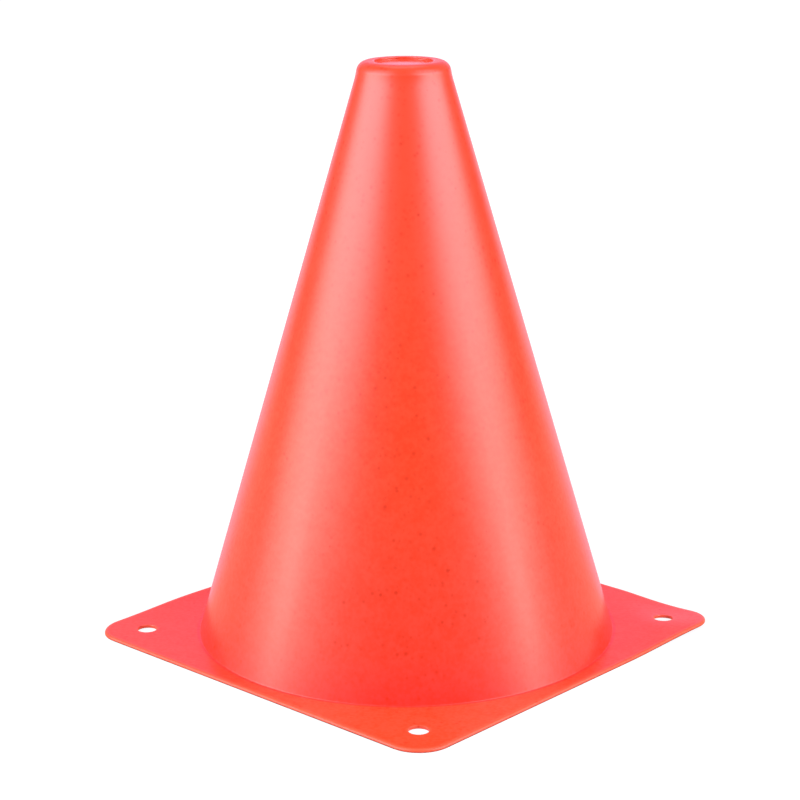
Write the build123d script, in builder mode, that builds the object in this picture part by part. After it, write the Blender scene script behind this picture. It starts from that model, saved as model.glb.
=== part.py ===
from build123d import *
import os
from math import atan, cos, radians, tan

# Sports marker cone: a hollow tapered plastic cone on a thin square flange.
# Millimetres. The origin is the centre of the underside, and +Z runs up the axis.

# Overall sizes
cone_height = 178.0
flange_width = 140.0

# Square flange that the cone stands on
flange_thickness = 1.0
flange_corner_radius = 10.5
flange_top_edge_radius = 0.6
flange_low_edge_radius = 0.2
peg_hole_diameter = 6.0
peg_hole_inset = 12.45

# Tapered wall: the land is the narrowest strip of flange outside the foot
flange_land = 5.8
rim_diameter = 28.1
wall_thickness = 1.1
foot_height = 3.0
foot_fillet_radius = 0.4
mouth_edge_radius = 1.0

# Rim around the closed top, with a shallow round recess in it
rim_height = 4.5
rim_draft_angle = 10.0
rim_edge_radius = 3.0
rim_land = 4.55
recess_depth = 0.8
recess_edge_radius = 0.35
recess_crease_radius = 0.25
cap_thickness = 1.2
cap_inner_edge_radius = 1.2

# Places worked out from the sizes above
foot_radius = flange_width / 2 - flange_land
rim_radius = rim_diameter / 2
wall_bottom = flange_thickness + foot_height
wall_top = cone_height - rim_height
peg_hole_spacing = flange_width - 2 * peg_hole_inset

# Taper of the wall, as run over rise, and the wall's thickness measured level
wall_taper = (foot_radius - rim_radius) / (wall_top - flange_thickness)
wall_run = wall_thickness / cos(atan(wall_taper))

# The rim's side leans in by its own draft, less than the wall does
rim_taper = tan(radians(rim_draft_angle))
rim_top_radius = rim_radius - rim_taper * rim_height
recess_radius = rim_top_radius - rim_land
recess_floor = cone_height - recess_depth
cap_underside = recess_floor - cap_thickness


def outer_radius(height):
    """Radius of the outside of the tapered wall at a height."""
    return foot_radius - wall_taper * (height - flange_thickness)


def inner_radius(height):
    """Radius of the inside of the tapered wall at a height."""
    return outer_radius(height) - wall_run


# Inside of the rim, and the cap's rounded edges as radius, height and rounding
rim_inner_radius = inner_radius(wall_top) - rim_taper * (cap_underside - wall_top)
cap_rounds = [
    (rim_top_radius, cone_height, rim_edge_radius),
    (recess_radius, cone_height, recess_edge_radius),
    (recess_radius, recess_floor, recess_crease_radius),
    (rim_inner_radius, cap_underside, cap_inner_edge_radius),
]


# Square flange with peg holes, and the foot that turns up into the wall
with BuildPart() as base_flange:
    with BuildSketch():
        RectangleRounded(flange_width, flange_width, flange_corner_radius)
        with GridLocations(peg_hole_spacing, peg_hole_spacing, 2, 2):
            Circle(peg_hole_diameter / 2, mode=Mode.SUBTRACT)
    extrude(amount=flange_thickness)
    low_outline = base_flange.faces().sort_by(Axis.Z)[0].outer_wire().edges()
    fillet(low_outline, flange_low_edge_radius)
    top_outline = base_flange.faces().sort_by(Axis.Z)[-1].outer_wire().edges()
    fillet(top_outline, flange_top_edge_radius)
    with BuildSketch(Plane.XZ):
        with BuildLine():
            Polyline(
                (0, 0),
                (inner_radius(0), 0),
                (inner_radius(flange_thickness), flange_thickness),
                (0, flange_thickness),
                close=True,
            )
        make_face()
    revolve(axis=Axis.Z, mode=Mode.SUBTRACT)
    with BuildSketch(Plane.XZ):
        with BuildLine():
            Polyline(
                (inner_radius(0), 0),
                (outer_radius(0), 0),
                (outer_radius(wall_bottom), wall_bottom),
                (inner_radius(wall_bottom), wall_bottom),
                close=True,
            )
        make_face()
    revolve(axis=Axis.Z)
    circles = base_flange.edges().filter_by(GeomType.CIRCLE)
    crease = circles.sort_by_distance((foot_radius, 0, flange_thickness))[0]
    fillet(crease, foot_fillet_radius)
    mouth = base_flange.edges().filter_by(GeomType.CIRCLE).sort_by_distance((inner_radius(0), 0, 0))[0]
    fillet(mouth, mouth_edge_radius)

# Tapered wall between the foot and the cap
with BuildPart() as cone_wall:
    with BuildSketch(Plane.XZ):
        with BuildLine():
            Polyline(
                (inner_radius(wall_bottom), wall_bottom),
                (outer_radius(wall_bottom), wall_bottom),
                (outer_radius(wall_top), wall_top),
                (inner_radius(wall_top), wall_top),
                close=True,
            )
        make_face()
    revolve(axis=Axis.Z)

# Closed cap: a collar with a rounded edge, and a round recess inside the rim
with BuildPart() as top_cap:
    with BuildSketch(Plane.XZ) as cap_section:
        with BuildLine():
            Polyline(
                (inner_radius(wall_top), wall_top),
                (rim_radius, wall_top),
                (rim_top_radius, cone_height),
                (recess_radius, cone_height),
                (recess_radius, recess_floor),
                (0, recess_floor),
                (0, cap_underside),
                (rim_inner_radius, cap_underside),
                close=True,
            )
        make_face()
        for radius, height, round_radius in cap_rounds:
            corner = cap_section.vertices().sort_by_distance((radius, height, 0))[0]
            fillet(corner, round_radius)
    revolve(axis=Axis.Z)

# One file for each piece
os.makedirs("parts", exist_ok=True)
base_flange.part.label = "base_flange"
export_step(base_flange.part, "parts/base_flange.step")
cone_wall.part.label = "cone_wall"
export_step(cone_wall.part, "parts/cone_wall.step")
top_cap.part.label = "top_cap"
export_step(top_cap.part, "parts/top_cap.step")
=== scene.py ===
import math

import bmesh
import bpy
from mathutils import Matrix, Vector
from mathutils.geometry import delaunay_2d_cdt


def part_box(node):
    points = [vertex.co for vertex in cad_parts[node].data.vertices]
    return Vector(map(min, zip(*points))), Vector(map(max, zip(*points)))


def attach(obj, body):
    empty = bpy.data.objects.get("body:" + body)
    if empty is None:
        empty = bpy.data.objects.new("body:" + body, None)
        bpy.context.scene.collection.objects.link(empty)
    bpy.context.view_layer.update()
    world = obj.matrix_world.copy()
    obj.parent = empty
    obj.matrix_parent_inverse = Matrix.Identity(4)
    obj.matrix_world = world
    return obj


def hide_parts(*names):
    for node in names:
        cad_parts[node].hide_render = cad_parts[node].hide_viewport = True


# Sports marker cone: one satin plastic moulding, built here as its three zones.
# Metres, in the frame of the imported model: origin under the axis, +Z up.

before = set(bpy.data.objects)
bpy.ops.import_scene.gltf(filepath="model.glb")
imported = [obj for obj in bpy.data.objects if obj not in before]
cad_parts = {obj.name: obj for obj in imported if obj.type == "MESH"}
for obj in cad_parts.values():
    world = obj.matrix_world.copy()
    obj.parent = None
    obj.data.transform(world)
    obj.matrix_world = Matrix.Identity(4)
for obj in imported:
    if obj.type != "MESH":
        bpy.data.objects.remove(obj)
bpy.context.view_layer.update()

MM = 0.001

# Places read from the frame
FLANGE_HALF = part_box("base_flange")[1].x
WALL_LOW, WALL_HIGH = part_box("cone_wall")
CAP_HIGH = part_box("top_cap")[1]
FOOT_SEAM = WALL_LOW.z
CAP_SEAM = WALL_HIGH.z
TOP = CAP_HIGH.z

# The photograph shows the wall a little wider than the solids are
FOOT_WIDER = 0.58 * MM
CAP_WIDER = 0.26 * MM
FOOT_SEAM_RADIUS = WALL_HIGH.x + FOOT_WIDER
CAP_SEAM_RADIUS = CAP_HIGH.x + CAP_WIDER

# Square flange
FLANGE_THICKNESS = 1.0 * MM
CORNER_RADIUS = 10.5 * MM
TOP_EDGE_ROUND = 0.75 * MM
LOW_EDGE_ROUND = 0.1 * MM
HOLE_RADIUS = 3.0 * MM
HOLE_INSET = 12.45 * MM
HOLE_EDGE_ROUND = 0.2 * MM
CORNER_OFFSET = FLANGE_HALF - CORNER_RADIUS
HOLE_OFFSET = FLANGE_HALF - HOLE_INSET
HOLE_CENTRES = [(x * HOLE_OFFSET, y * HOLE_OFFSET) for x in (-1, 1) for y in (-1, 1)]

# Bends that a used flange has: the x and y of each, how far it reaches, and its lift, all in mm.
# They fade out towards the foot.
BENDS = [(70.0, 63.0, 41.0, 0.82), (53.0, 70.0, 22.0, -1.0), (-70.0, -15.0, 45.0, 0.9)]
BEND_START = 66.0 * MM
BEND_FULL = 80.0 * MM

# Tapered wall and foot
WALL_THICKNESS = 1.1 * MM
FOOT_ROUND = 0.2 * MM
MOUTH_ROUND = 1.0 * MM

# Closed cap
RIM_DRAFT = math.radians(10.0)
SOFT_TURN = 1.6 * MM
RIM_ROUND = 3.2 * MM
RIM_LAND = 4.55 * MM + CAP_WIDER
RECESS_DEPTH = 0.8 * MM
RECESS_EDGE_ROUND = 0.35 * MM
RECESS_CREASE_ROUND = 0.25 * MM
CAP_THICKNESS = 1.2 * MM
CAP_INNER_ROUND = 1.2 * MM

# Fineness of the meshes
SEGMENTS = 256
ARC_STEPS = 6
WALL_RINGS = 44
TURN_RINGS = 8
HOLE_POINTS = 48
SIDE_STEPS = 60
CORNER_STEPS = 14
PLATE_SPACING = 2.5 * MM
PLATE_MARGIN = 0.6 * PLATE_SPACING
PLATE_WELD = 1e-9
HOLD = 0.15 * MM

# How far the two ends of a section run on level, to be cut off when its corners are rounded
RUN_ON = 2 * MM

# The wall's taper, as run over rise, and its thickness measured level
TAPER = (FOOT_SEAM_RADIUS - CAP_SEAM_RADIUS) / (CAP_SEAM - FOOT_SEAM)
WALL_RUN = WALL_THICKNESS / math.cos(math.atan(TAPER))


def soft_turn(height):
    """How far the soft turn between the wall and the collar stands out at a height."""
    near = max(0.0, 1 - abs(height - CAP_SEAM) / SOFT_TURN)
    return (TAPER - math.tan(RIM_DRAFT)) * SOFT_TURN / 4 * near ** 2


def outer_radius(height):
    """Radius of the outside of the tapered wall at a height."""
    return FOOT_SEAM_RADIUS - TAPER * (height - FOOT_SEAM) + soft_turn(height)


def inner_radius(height):
    """Radius of the inside of the tapered wall at a height."""
    return outer_radius(height) - WALL_RUN


def rounded(corners):
    """Points of an open section of (radius, height, rounding) corners, with an arc at each rounding."""
    points = []
    for index, (radius, height, rounding) in enumerate(corners):
        corner = Vector((radius, height))
        if rounding == 0:
            points.append(corner)
            continue
        before = (Vector(corners[index - 1][:2]) - corner).normalized()
        after = (Vector(corners[index + 1][:2]) - corner).normalized()
        half = before.angle(after) / 2
        tangent = rounding / math.tan(half)
        centre = corner + (before + after).normalized() * rounding / math.sin(half)
        start = corner + before * tangent - centre
        end = corner + after * tangent - centre
        points.append(centre + start + before * HOLD)
        for step in range(ARC_STEPS + 1):
            points.append(centre + rounding * start.slerp(end, step / ARC_STEPS))
        points.append(centre + end + after * HOLD)
    return points


def ring(bm, radius, height, count=SEGMENTS, centre=(0, 0)):
    """A level circle of vertices, or one vertex where the radius is nothing."""
    if radius == 0:
        return [bm.verts.new((centre[0], centre[1], height))]
    turns = [2 * math.pi * index / count for index in range(count)]
    return [
        bm.verts.new((centre[0] + radius * math.cos(t), centre[1] + radius * math.sin(t), height))
        for t in turns
    ]


def bridge(bm, first, second):
    """Makes faces between two loops of as many vertices, or between a loop and one vertex."""
    if len(first) == 1:
        first, second = second, first
    count = len(first)
    for index in range(count):
        following = (index + 1) % count
        corners = [first[index], first[following]]
        if len(second) == 1:
            corners.append(second[0])
        else:
            corners += [second[following], second[index]]
        bm.faces.new(corners)


def bridge_all(bm, loops):
    """Makes faces between each loop of vertices and the next."""
    for first, second in zip(loops, loops[1:]):
        bridge(bm, first, second)


def spin(bm, section):
    """Spins a section around the axis, and returns its rings of vertices."""
    rings = [ring(bm, radius, height) for radius, height in section]
    bridge_all(bm, rings)
    return rings


def finish_piece(bm, name, node, material, sharp_rings):
    """Makes a shaded piece that rides on the body and stands for its node."""
    bmesh.ops.recalc_face_normals(bm, faces=bm.faces)
    for face in bm.faces:
        face.smooth = True
    for loop in sharp_rings:
        members = set(loop)
        for vert in loop:
            for edge in vert.link_edges:
                if edge.other_vert(vert) in members:
                    edge.smooth = False
    mesh = bpy.data.meshes.new(name)
    bm.to_mesh(mesh)
    bm.free()
    mesh.materials.append(material)
    piece = bpy.data.objects.new(name, mesh)
    bpy.context.scene.collection.objects.link(piece)
    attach(piece, "root")
    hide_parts(node)


# Square flange with its holes and turned-up foot
def outline(bm, inset, height):
    """The flange's rounded square outline, moved in by an inset."""
    radius = CORNER_RADIUS - inset
    signs = [(1, 1), (-1, 1), (-1, -1), (1, -1)]
    places = []
    for quarter in range(4):
        start = quarter * math.pi / 2
        turns = [start + math.pi / 2 * step / CORNER_STEPS for step in range(CORNER_STEPS + 1)]
        centre = Vector(signs[quarter]) * CORNER_OFFSET
        places += [centre + radius * Vector((math.cos(t), math.sin(t))) for t in turns]
        following = Vector(signs[(quarter + 1) % 4]) * CORNER_OFFSET
        normal = Vector((math.cos(start + math.pi / 2), math.sin(start + math.pi / 2)))
        for step in range(1, SIDE_STEPS):
            places.append(centre.lerp(following, step / SIDE_STEPS) + radius * normal)
    return [bm.verts.new((place.x, place.y, height)) for place in places]


def on_plate(place, inner, hole, margin):
    """True where a place lies on the flat of the flange, a margin away from its edges."""
    out_x = max(abs(place.x) - CORNER_OFFSET, 0)
    out_y = max(abs(place.y) - CORNER_OFFSET, 0)
    if math.hypot(out_x, out_y) > CORNER_RADIUS - margin:
        return False
    if place.length < inner + margin:
        return False
    return all((place - Vector(centre)).length > hole + margin for centre in HOLE_CENTRES)


def fill_plate(bm, loops, inner, hole):
    """Fills the level plate between loops of vertices with small triangles."""
    verts = [vert for loop in loops for vert in loop]
    edges = []
    for loop in loops:
        start = verts.index(loop[0])
        edges += [(start + i, start + (i + 1) % len(loop)) for i in range(len(loop))]
    height = verts[0].co.z
    steps = round(2 * FLANGE_HALF / PLATE_SPACING)
    for row in range(1, steps):
        for column in range(1, steps):
            place = Vector((column, row)) * PLATE_SPACING - Vector((FLANGE_HALF, FLANGE_HALF))
            if on_plate(place, inner, hole, PLATE_MARGIN):
                verts.append(bm.verts.new((place.x, place.y, height)))
    flat = [vert.co.xy for vert in verts]
    places, _, triangles, sources, _, _ = delaunay_2d_cdt(flat, edges, [], 0, PLATE_WELD)
    for triangle in triangles:
        centre = sum((places[i] for i in triangle), Vector((0, 0))) / 3
        if on_plate(centre, inner, hole, 0):
            bm.faces.new([verts[sources[i][0]] for i in triangle])


def bent(place):
    """The place of a flange vertex after bending: lifted as it is, or pressed thinner on the floor."""
    out = (place.xy.length - BEND_START) / (BEND_FULL - BEND_START)
    out = min(max(out, 0.0), 1.0)
    lift = 0.0
    for x, y, reach, rise in BENDS:
        share = (place.xy - Vector((x, y)) * MM).length / (reach * MM)
        lift += rise * MM * max(0.0, 1 - share ** 2) ** 2
    lift *= out * out * (3 - 2 * out)
    height = place.z + lift if lift > 0 else place.z * (1 + lift / FLANGE_THICKNESS)
    return Vector((place.x, place.y, height))


def make_flange(material):
    """Square flange, with rounded edges, real hole walls and the foot of the cone."""
    bm = bmesh.new()
    bottom = 0.0
    top = FLANGE_THICKNESS

    edge_section = rounded([
        (FLANGE_HALF - RUN_ON, top, 0),
        (FLANGE_HALF, top, TOP_EDGE_ROUND),
        (FLANGE_HALF, bottom, LOW_EDGE_ROUND),
        (FLANGE_HALF - RUN_ON, bottom, 0),
    ])[1:-1]
    edge_loops = [outline(bm, FLANGE_HALF - reach, height) for reach, height in edge_section]

    hole_section = rounded([
        (HOLE_RADIUS + RUN_ON, top, 0),
        (HOLE_RADIUS, top, HOLE_EDGE_ROUND),
        (HOLE_RADIUS, bottom, HOLE_EDGE_ROUND),
        (HOLE_RADIUS + RUN_ON, bottom, 0),
    ])[1:-1]
    hole_loops = [
        [ring(bm, radius, height, HOLE_POINTS, centre) for radius, height in hole_section]
        for centre in HOLE_CENTRES
    ]

    foot_section = rounded([
        (outer_radius(top) + RUN_ON, top, 0),
        (outer_radius(top), top, FOOT_ROUND),
        (outer_radius(FOOT_SEAM), FOOT_SEAM, 0),
        (inner_radius(FOOT_SEAM), FOOT_SEAM, 0),
        (inner_radius(bottom), bottom, MOUTH_ROUND),
        (inner_radius(bottom) + RUN_ON, bottom, 0),
    ])[1:-1]
    foot_rings = spin(bm, foot_section)

    for loops in [edge_loops, *hole_loops]:
        bridge_all(bm, loops)

    top_loops = [edge_loops[0], foot_rings[0], *[loops[0] for loops in hole_loops]]
    low_loops = [edge_loops[-1], foot_rings[-1], *[loops[-1] for loops in hole_loops]]
    fill_plate(bm, top_loops, foot_section[0].x, hole_section[0].x)
    fill_plate(bm, low_loops, foot_section[-1].x, hole_section[-1].x)

    for vert in bm.verts:
        vert.co = bent(vert.co)
    seam_rings = [loop for loop, point in zip(foot_rings, foot_section) if point.y == FOOT_SEAM]
    finish_piece(bm, "flange_moulding", "base_flange", material, seam_rings)


# Tapered wall
def make_wall(material):
    """Hollow wall between the foot and the cap."""
    bm = bmesh.new()
    turn_start = CAP_SEAM - SOFT_TURN
    rise = turn_start - FOOT_SEAM
    heights = [FOOT_SEAM + rise * step / WALL_RINGS for step in range(WALL_RINGS)]
    heights += [turn_start + SOFT_TURN * step / TURN_RINGS for step in range(TURN_RINGS + 1)]
    outside = [(outer_radius(height), height) for height in heights]
    inside = [(inner_radius(height), height) for height in reversed(heights)]
    rings = spin(bm, outside + inside)
    bridge(bm, rings[-1], rings[0])
    seam_rings = [rings[0], rings[len(outside) - 1], rings[len(outside)], rings[-1]]
    finish_piece(bm, "wall_moulding", "cone_wall", material, seam_rings)


# Closed cap
def make_cap(material):
    """Collar with a rounded edge, and a disc in a shallow recess inside the rim."""
    bm = bmesh.new()
    draft = math.tan(RIM_DRAFT)
    rim_radius = CAP_SEAM_RADIUS - draft * (TOP - CAP_SEAM)
    recess = rim_radius - RIM_LAND
    floor = TOP - RECESS_DEPTH
    underside = floor - CAP_THICKNESS
    rim_inside = inner_radius(CAP_SEAM) - draft * (underside - CAP_SEAM)
    collar = []
    for step in range(TURN_RINGS + 1):
        rise = SOFT_TURN * step / TURN_RINGS
        collar.append((CAP_SEAM_RADIUS - draft * rise + soft_turn(CAP_SEAM + rise), CAP_SEAM + rise, 0))
    section = rounded([
        (inner_radius(CAP_SEAM), CAP_SEAM, 0),
        *collar,
        (rim_radius, TOP, RIM_ROUND),
        (recess, TOP, RECESS_EDGE_ROUND),
        (recess, floor, RECESS_CREASE_ROUND),
        (recess / 2, floor, 0),
        (0, floor, 0),
    ])
    hollow = rounded([
        (0, underside, 0),
        (rim_inside / 2, underside, 0),
        (rim_inside, underside, CAP_INNER_ROUND),
        (inner_radius(CAP_SEAM), CAP_SEAM, 0),
    ])
    rings = spin(bm, section)
    inner_rings = spin(bm, hollow[:-1])
    bridge(bm, inner_rings[-1], rings[0])
    finish_piece(bm, "cap_moulding", "top_cap", material, rings[:2])


# Node trees
VALUE_SUMS = ("LENGTH", "DISTANCE", "DOT_PRODUCT")
LEVEL = (1, 1, 0)
WHITE = (1, 1, 1, 1)


class Tree:
    """Short helpers for wiring a node tree."""

    def __init__(self, tree):
        self.nodes = tree.nodes
        self.links = tree.links
        self.nodes.clear()

    def add(self, kind, inputs=None, **settings):
        """A node with settings, whose inputs are values or the output sockets of other nodes."""
        node = self.nodes.new(kind)
        for key, value in settings.items():
            setattr(node, key, value)
        for key, value in (inputs or {}).items():
            socket = node.inputs[key]
            if isinstance(value, bpy.types.NodeSocket):
                self.links.new(value, socket)
            else:
                socket.default_value = value
        return node

    def coordinate(self, kind):
        """The place that is being shaded, in one of the kinds of texture coordinate."""
        return self.add("ShaderNodeTexCoord").outputs[kind]

    def part(self, axis, vector):
        """One axis of a vector."""
        return self.add("ShaderNodeSeparateXYZ", {"Vector": vector}).outputs[axis]

    def math(self, operation, first, second=0.0):
        """The result of one sum."""
        return self.add("ShaderNodeMath", {0: first, 1: second}, operation=operation).outputs[0]

    def vector(self, operation, first, second=(0, 0, 0)):
        """The result of one sum on vectors: a value, or a vector again."""
        node = self.add("ShaderNodeVectorMath", {0: first, 1: second}, operation=operation)
        return node.outputs["Value" if operation in VALUE_SUMS else "Vector"]

    def noise(self, place, scale, detail):
        """A soft random level at each place."""
        inputs = {"Vector": place, "Scale": scale, "Detail": detail}
        return self.add("ShaderNodeTexNoise", inputs).outputs["Fac"]

    def spread(self, value, foot_shade, high, to_low, to_high):
        """A value moved from one range to another, and held there."""
        inputs = {"Value": value, "From Min": foot_shade, "From Max": high, "To Min": to_low, "To Max": to_high}
        return self.add("ShaderNodeMapRange", inputs).outputs["Result"]

    def blend(self, share, first, second, kind="MIX"):
        """A mix of two colours."""
        inputs = {0: share, 6: first, 7: second}
        return self.add("ShaderNodeMix", inputs, data_type="RGBA", blend_type=kind).outputs[2]

    def glow(self, colour, strength):
        """Light of a colour."""
        return self.add("ShaderNodeEmission", {"Color": colour, "Strength": strength}).outputs[0]

    def diffuse(self, colour):
        """A matt surface of a colour."""
        return self.add("ShaderNodeBsdfDiffuse", {"Color": colour}).outputs[0]

    def choose(self, share, first, second):
        """A mix of two shaders."""
        return self.add("ShaderNodeMixShader", {0: share, 1: first, 2: second}).outputs[0]


# Colours of the satin orange-red plastic, and tints that they are multiplied by
DEEP_RED = (0.93, 0.0520, 0.0145, 1)
WARM_ORANGE = (0.965, 0.0670, 0.0270, 1)
TOP_PINK = (0.955, 0.068, 0.0250, 1)
# Painted light: the paler orange that the flange's thin edges and hole rims are painted, for light coming
# through them
EDGE_GLOW_ORANGE = (1.0, 0.125, 0.055, 1)
SPECK_RED = (0.75, 0.022, 0.0, 1)
WALL_TINT = (1.0, 1.0, 0.70, 1)
# Painted shade: the foot and crease tints darken the wall towards the flange, where it is shaded and
# mirrors the red flange
FOOT_SHADE_TINT = (0.987, 0.823, 1.12, 1)
CREASE_SHADE_TINT = (1.0, 0.82, 1.0, 1)
FRONT_TINT = (1.0, 1.19, 1.10, 1)

# Heights between which each of them comes in or fades out
WALL_TINT_RISE = (10 * MM, 70 * MM)
FOOT_SHADE_RISE = (5 * MM, 60 * MM)
CREASE_SHADE_RISE = (3 * MM, 15 * MM)
TOP_PINK_RISE = (90 * MM, 170 * MM)

# Where the wall ends, out from the axis, and the flange's front begins, towards its corner
WALL_END = (65.4 * MM, 66.0 * MM)
FRONT_CORNER = Vector((1, -1, 0)).normalized()
FRONT_START = (42 * MM, 62 * MM)

# Noises: the scale and the detail of each, and the range of it that is used
CLOUD = (45, 3)
CLOUD_RANGE = (0.3, 0.7)
MOTTLE = (800, 2)
BLOTCH = (260, 1)
MOTTLE_RANGE = (0.25, 0.75)
PATCH = (70, 1)
PATCH_RANGE = (0.35, 0.65)
GRAIN = (900, 3)

# What the mottle and the blotches add to the clouds, and where that sum is red and orange
MOTTLE_SHARE = (-0.2, 1.2)
BLOTCH_SHARE = (-0.4, 0.4)
RED_TO_ORANGE = (0.5, 1.5)

# Thin edges painted paler, as painted light, out to the flange's outline and around its holes
EDGE_GLOW_BAND = (CORNER_RADIUS - 1.8 * MM, CORNER_RADIUS - 0.2 * MM)
EDGE_GLOW_SHARE = 0.8
HOLE_GLOW_BAND = (HOLE_RADIUS, HOLE_RADIUS + 0.9 * MM)
HOLE_GLOW_SHARE = 0.5

# Specks: their cells, how much of a cell each fills, how deep they are and how few are deep
SPECK_SCALE = 560
SPECK_REACH = (0.28, 0.50)
SPECK_DEPTH = (0.32, 0.95)
SPECK_POWER = 4.0
SPECK_PATCHES = (0.6, 1.3)
LOW_SPECK_RISE = (30 * MM, 65 * MM)
LOW_SPECK_GAIN = 1.15
FLANGE_SPECK_GAIN = 0.75

# Roughness of the satin plastic and of the polished disc, and where the disc and the rim lie
SATIN = (0.24, 0.27)
POLISHED = 0.12
DISC_END = (9.0 * MM, 9.3 * MM)
DISC_RISE = (175 * MM, 176 * MM)
RIM_START = (9.3 * MM, 9.8 * MM)
RIM_RISE = (175.6 * MM, 176.0 * MM)

# Shine of the plain and of the scuffed plastic, and its grain
SHINE = 0.5
SCUFFED_SHINE = 0.28
SCUFFED_EDGE = (CORNER_RADIUS - 0.9 * MM, CORNER_RADIUS - 0.4 * MM)
SCUFFED_FRONT_SHARE = 0.7
GRAIN_STRENGTH = 0.25
GRAIN_DEPTH = 0.02 * MM
PLASTIC_IOR = 1.66


def speck_share(tree, place, height, on_wall):
    """How much of the dark specks shows: most are faint, a few are deep, and they gather in patches."""
    cell = tree.add("ShaderNodeTexVoronoi", {"Vector": place, "Scale": SPECK_SCALE}).outputs
    chance = tree.add("ShaderNodeSeparateColor", {"Color": cell["Color"]}).outputs
    reach = tree.spread(chance["Green"], 0, 1, *SPECK_REACH)
    near = tree.spread(cell["Distance"], 0, reach, 1, 0)
    depth = tree.spread(tree.math("POWER", chance["Red"], SPECK_POWER), 0, 1, *SPECK_DEPTH)
    patch = tree.noise(place, *PATCH)
    gains = [
        tree.spread(patch, *PATCH_RANGE, *SPECK_PATCHES),
        tree.spread(height, *LOW_SPECK_RISE, LOW_SPECK_GAIN, 1),
        tree.spread(on_wall, 0, 1, FLANGE_SPECK_GAIN, 1),
    ]
    for gain in gains:
        depth = tree.math("MULTIPLY", depth, gain)
    return tree.math("MULTIPLY", near, depth)


def make_plastic():
    """Satin plastic: cloudy colour, painted shade at the wall's foot, thin edges painted paler as painted
    light, dark specks, a fine grain and a polished disc.
    """
    material = bpy.data.materials.new("cone_plastic")
    material.use_nodes = True
    tree = Tree(material.node_tree)
    place = tree.coordinate("Object")
    flat = tree.vector("MULTIPLY", place, LEVEL)
    out = tree.vector("LENGTH", flat)
    height = tree.part("Z", place)
    on_wall = tree.spread(out, *WALL_END, 1, 0)
    off_wall = tree.math("SUBTRACT", 1.0, on_wall)

    # Clouds, with a fine mottle and blotches in them
    cloud = tree.noise(place, *CLOUD)
    mixed = cloud
    for noise, share in ((MOTTLE, MOTTLE_SHARE), (BLOTCH, BLOTCH_SHARE)):
        mixed = tree.math("ADD", mixed, tree.spread(tree.noise(place, *noise), *MOTTLE_RANGE, *share))
    colour = tree.blend(tree.spread(mixed, *RED_TO_ORANGE, 0, 1), DEEP_RED, WARM_ORANGE)

    # The wall is painted darker at its foot, as painted shade and a painted red reflection of the flange
    # where the two meet, and a little pinker near its top
    middle = tree.math("MULTIPLY", tree.spread(height, *WALL_TINT_RISE, 0, 1), on_wall)
    colour = tree.blend(middle, colour, WALL_TINT, "MULTIPLY")
    for rise, tint in ((FOOT_SHADE_RISE, FOOT_SHADE_TINT), (CREASE_SHADE_RISE, CREASE_SHADE_TINT)):
        foot_shade = tree.math("MULTIPLY", tree.spread(height, *rise, 1, 0), on_wall)
        colour = tree.blend(foot_shade, colour, tint, "MULTIPLY")
    colour = tree.blend(tree.spread(height, *TOP_PINK_RISE, 0, 1), colour, TOP_PINK)

    # The flange is warmer towards its front corner
    ahead = tree.vector("DOT_PRODUCT", place, FRONT_CORNER)
    front = tree.math("MULTIPLY", tree.spread(ahead, *FRONT_START, 0, 1), off_wall)
    colour = tree.blend(front, colour, FRONT_TINT, "MULTIPLY")

    # Painted light: the thin edges of the flange and of its holes are painted a paler orange, for light
    # that comes through them
    mirrored = tree.vector("ABSOLUTE", flat)
    past = tree.vector("SUBTRACT", mirrored, (CORNER_OFFSET, CORNER_OFFSET, 0))
    past = tree.vector("LENGTH", tree.vector("MAXIMUM", past))
    edge = tree.spread(past, *EDGE_GLOW_BAND, 0, EDGE_GLOW_SHARE)
    around_hole = tree.vector("DISTANCE", mirrored, (HOLE_OFFSET, HOLE_OFFSET, 0))
    hole = tree.spread(around_hole, *HOLE_GLOW_BAND, HOLE_GLOW_SHARE, 0)
    thin_edge_glow = tree.math("MULTIPLY", tree.math("MAXIMUM", edge, hole), off_wall)
    colour = tree.blend(thin_edge_glow, colour, EDGE_GLOW_ORANGE)

    colour = tree.blend(speck_share(tree, place, height, on_wall), colour, SPECK_RED)

    # The disc in the cap is polished
    roughness = tree.spread(cloud, *CLOUD_RANGE, *SATIN)
    disc = tree.math("MULTIPLY", tree.spread(out, *DISC_END, 1, 0), tree.spread(height, *DISC_RISE, 0, 1))
    roughness = tree.add("ShaderNodeMix", {0: disc, 2: roughness, 3: POLISHED}).outputs[0]

    # The rounded rim, the outer edge of the flange and, less so, the flange's front are scuffed and duller
    on_rim = tree.math("MULTIPLY", tree.spread(out, *RIM_START, 0, 1), tree.spread(height, *RIM_RISE, 0, 1))
    on_edge = tree.math("MULTIPLY", tree.spread(past, *SCUFFED_EDGE, 0, 1), off_wall)
    on_front = tree.math("MULTIPLY", front, SCUFFED_FRONT_SHARE)
    scuffed = tree.math("MAXIMUM", tree.math("MAXIMUM", on_rim, on_edge), on_front)
    shine = tree.spread(scuffed, 0, 1, SHINE, SCUFFED_SHINE)

    grain = {"Height": tree.noise(place, *GRAIN), "Strength": GRAIN_STRENGTH, "Distance": GRAIN_DEPTH}
    shader = tree.add("ShaderNodeBsdfPrincipled", {
        "Base Color": colour,
        "Roughness": roughness,
        "Specular IOR Level": shine,
        "Normal": tree.add("ShaderNodeBump", grain).outputs["Normal"],
        "IOR": PLASTIC_IOR,
    })
    tree.add("ShaderNodeOutputMaterial", {"Surface": shader.outputs["BSDF"]})
    return material


# Camera, at the photograph's place
CAMERA_AZIMUTH = math.radians(42.646)
CAMERA_REACH = 665.73 * MM
CAMERA_HEIGHT = 262.73 * MM
CAMERA_PITCH = 0.2759
CAMERA_YAW = -0.0024
CAMERA_ROLL = -0.0053
CAMERA_LENS = 101.59
SENSOR_WIDTH = 36.0


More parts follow.
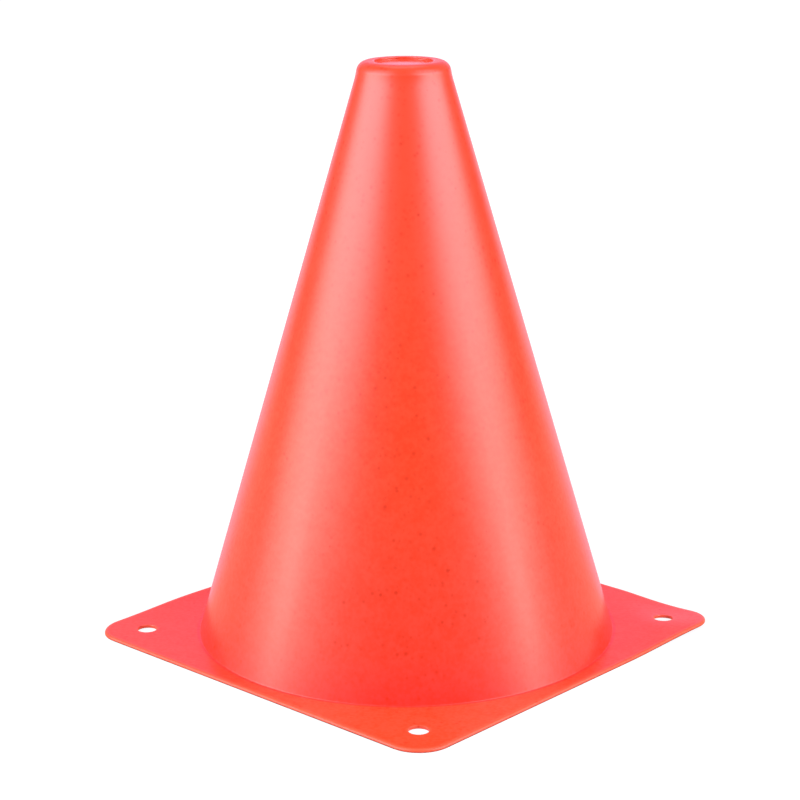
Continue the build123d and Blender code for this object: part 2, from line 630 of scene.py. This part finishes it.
def around(azimuth, reach, height):
    """A place at an azimuth in degrees, counted from the camera towards the picture's right."""
    turn = CAMERA_AZIMUTH + math.radians(azimuth)
    return Vector((reach * math.sin(turn), -reach * math.cos(turn), height))


def make_camera():
    """The scene's camera."""
    data = bpy.data.cameras.new("camera")
    data.lens = CAMERA_LENS
    data.sensor_width = SENSOR_WIDTH
    camera = bpy.data.objects.new("camera", data)
    bpy.context.scene.collection.objects.link(camera)
    turn = Matrix.Rotation(CAMERA_AZIMUTH - CAMERA_YAW, 4, "Z")
    tilt = Matrix.Rotation(math.pi / 2 - CAMERA_PITCH, 4, "X")
    roll = Matrix.Rotation(CAMERA_ROLL, 4, "Z")
    camera.matrix_world = Matrix.Translation(around(0, CAMERA_REACH, CAMERA_HEIGHT)) @ turn @ tilt @ roll
    bpy.context.scene.camera = camera


# Lamps: all face the middle of the cone from one reach, and are warm low down and cool high up
AIM = Vector((0, 0, 0.09))
LAMP_REACH = 0.8
LAMP_LOW = (0.97, 0.94, 0.88, 1)
LAMP_HIGH = (0.97, 0.94, 1.08, 1)
LAMP_TINT_RISE = (0.1, 0.4)
SKIRT_SOFTNESS = (0.1, 0.1)


def faded(tree, inside, start, soft):
    """A level that rises smoothly, from a start inside the edges of a lamp, on both of its axes."""
    level = 1.0
    for share, width in zip(inside, soft):
        inputs = {"Value": share, "From Min": start, "From Max": start + width}
        fade = tree.add("ShaderNodeMapRange", inputs, interpolation_type="SMOOTHSTEP").outputs["Result"]
        level = tree.math("MULTIPLY", fade, level)
    return level


def make_softbox(name, azimuth, elevation, size, softness, roll, radiance, skirt=0.0, skirt_width=0.0):
    """A rectangular lamp that faces the middle of the cone: a soft core inside a faint skirt."""
    data = bpy.data.lights.new(name, "AREA")
    data.shape = "RECTANGLE"
    data.size, data.size_y = size
    data.energy = radiance * math.pi * size[0] * size[1]
    data.use_nodes = True
    tree = Tree(data.node_tree)
    spot = tree.coordinate("UV")
    inside = []
    for axis in "XY":
        share = tree.math("MULTIPLY", tree.math("SUBTRACT", tree.part(axis, spot), 0.5), 2.0)
        inside.append(tree.math("SUBTRACT", 1.0, tree.math("ABSOLUTE", share)))
    core = tree.math("MULTIPLY", faded(tree, inside, skirt_width, softness), 1.0 - skirt)
    around_core = tree.math("MULTIPLY", faded(tree, inside, 0.0, SKIRT_SOFTNESS), skirt)
    level = tree.math("ADD", core, around_core)
    height = tree.part("Z", tree.add("ShaderNodeNewGeometry").outputs["Position"])
    tint = tree.blend(tree.spread(height, *LAMP_TINT_RISE, 0, 1), LAMP_LOW, LAMP_HIGH)
    tree.add("ShaderNodeOutputLight", {"Surface": tree.glow(tint, level)})
    lamp = bpy.data.objects.new(name, data)
    bpy.context.scene.collection.objects.link(lamp)
    rise = math.radians(elevation)
    centre = AIM + around(azimuth, LAMP_REACH * math.cos(rise), LAMP_REACH * math.sin(rise))
    turn = Matrix.Rotation(CAMERA_AZIMUTH + math.radians(azimuth), 4, "Z")
    tilt = Matrix.Rotation(math.pi / 2 - rise, 4, "X")
    twist = Matrix.Rotation(math.radians(roll), 4, "Z")
    lamp.matrix_world = Matrix.Translation(centre) @ turn @ tilt @ twist
    lamp.visible_camera = False
    return lamp


def make_lamps():
    """Two big softboxes, a small strip low down on each side, a lamp high behind, and two plain fills."""
    make_softbox(
        "softbox_left", azimuth=-70.8, elevation=24.4, size=(1.578, 2.214), softness=(0.685, 0.616),
        roll=-49.8, radiance=4.34, skirt=0.055, skirt_width=0.25,
    )
    make_softbox(
        "softbox_right", azimuth=68.3, elevation=27.7, size=(1.377, 2.012), softness=(0.631, 0.700),
        roll=38.5, radiance=4.02, skirt=0.045, skirt_width=0.19,
    )
    make_softbox(
        "strip_left", azimuth=-73.6, elevation=0, size=(0.253, 0.155), softness=(0.708, 0.669),
        roll=23, radiance=2.1,
    )
    make_softbox(
        "strip_right", azimuth=70.2, elevation=0, size=(0.232, 0.163), softness=(0.694, 0.626),
        roll=0, radiance=1.8,
    )
    make_softbox(
        "softbox_back", azimuth=180, elevation=70, size=(0.6, 0.6), softness=(0.5, 0.5),
        roll=0, radiance=1.25,
    )
    for name, azimuth in (("fill_left", -140), ("fill_right", 140)):
        fill = make_softbox(
            name, azimuth=azimuth, elevation=12, size=(0.9, 0.9), softness=(0.5, 0.5),
            roll=0, radiance=1.0,
        )
        fill.visible_glossy = False


# Floor: its glow and its grey under the shadow, its bounce, and the tints in which the plastic mirrors it
FLOOR_HALF = 4.0
FLOOR_DROP = 0.05 * MM
FLOOR_GLOW = (0.85, 1.0)
FLOOR_GLOW_REACH = (0.15, 0.6)
SHADOW_GREY = (0.2, 0.2, 0.2, 1)
BOUNCE_GREY = (0.45, 0.45, 0.45, 1)
FLOOR_BEHIND = (0.88, 0.73, 0.92, 1)
FLOOR_BESIDE = (0.72, 0.60, 0.50, 1)
CONE_REACH = 55 * MM
BESIDE_SLOPES = (0.55, 1.0)


def make_floor():
    """White floor that keeps a soft shadow, and is mirrored lilac behind the cone and tan beside it."""
    bm = bmesh.new()
    bmesh.ops.create_grid(bm, x_segments=1, y_segments=1, size=FLOOR_HALF)
    mesh = bpy.data.meshes.new("floor")
    bm.to_mesh(mesh)
    bm.free()
    floor = bpy.data.objects.new("floor", mesh)
    bpy.context.scene.collection.objects.link(floor)
    floor.location.z = -FLOOR_DROP

    material = bpy.data.materials.new("floor")
    material.use_nodes = True
    material.cycles.emission_sampling = "NONE"
    tree = Tree(material.node_tree)
    path = tree.add("ShaderNodeLightPath").outputs
    place = tree.coordinate("Object")
    glow = tree.spread(tree.vector("LENGTH", place), *FLOOR_GLOW_REACH, *FLOOR_GLOW)
    seen = tree.add("ShaderNodeAddShader", {0: tree.diffuse(SHADOW_GREY), 1: tree.glow(WHITE, glow)})

    across = tree.math("ABSOLUTE", tree.vector("DOT_PRODUCT", place, around(90, 1, 0)))
    behind = tree.math("MAXIMUM", tree.vector("DOT_PRODUCT", place, around(180, 1, 0)), MM)
    slope = tree.math("DIVIDE", tree.math("SUBTRACT", across, CONE_REACH), behind)
    tint = tree.blend(tree.spread(slope, *BESIDE_SLOPES, 0, 1), FLOOR_BEHIND, FLOOR_BESIDE)
    hidden = tree.choose(path["Is Glossy Ray"], tree.diffuse(BOUNCE_GREY), tree.glow(tint, 1.0))
    surface = tree.choose(path["Is Camera Ray"], hidden, seen.outputs[0])
    tree.add("ShaderNodeOutputMaterial", {"Surface": surface})
    mesh.materials.append(material)


# World: a sweep behind the cone, by how far a direction faces the camera and rises, and a dim room
SWEEP_LOW = (1.0, 0.64, 0.94, 1)
SWEEP_HIGH = (0.60, 0.30, 0.56, 1)
SWEEP_SIDES = (-0.98, -0.69)
SWEEP_TOP = (0.5, 0.9)
SWEEP_RISE = (0.14, 0.32)
ROOM_LOW = (0.05, 0.05, 0.05, 1)
ROOM_HIGH = (0.30, 0.30, 0.30, 1)
ROOM_RISE = (0.15, 0.40)


def make_world():
    """A lilac sweep behind the cone in a dim room, and white wherever the camera looks."""
    world = bpy.data.worlds.new("studio")
    world.use_nodes = True
    bpy.context.scene.world = world
    tree = Tree(world.node_tree)
    direction = tree.coordinate("Generated")
    level = tree.vector("NORMALIZE", tree.vector("MULTIPLY", direction, LEVEL))
    facing = tree.vector("DOT_PRODUCT", level, around(0, 1, 0))
    height = tree.part("Z", direction)
    behind = tree.math(
        "MULTIPLY", tree.spread(facing, *SWEEP_SIDES, 1, 0), tree.spread(height, *SWEEP_TOP, 1, 0),
    )
    sweep = tree.blend(tree.spread(height, *SWEEP_RISE, 0, 1), SWEEP_LOW, SWEEP_HIGH)
    room = tree.blend(tree.spread(height, *ROOM_RISE, 0, 1), ROOM_LOW, ROOM_HIGH)
    colour = tree.blend(behind, room, sweep)
    path = tree.add("ShaderNodeLightPath").outputs
    colour = tree.blend(path["Is Camera Ray"], colour, WHITE)
    background = tree.add("ShaderNodeBackground", {"Color": colour, "Strength": 1.0})
    tree.add("ShaderNodeOutputWorld", {"Surface": background.outputs[0]})


plastic = make_plastic()
make_flange(plastic)
make_wall(plastic)
make_cap(plastic)

make_camera()
make_world()
make_floor()
make_lamps()

bpy.context.scene.view_settings.view_transform = "Standard"
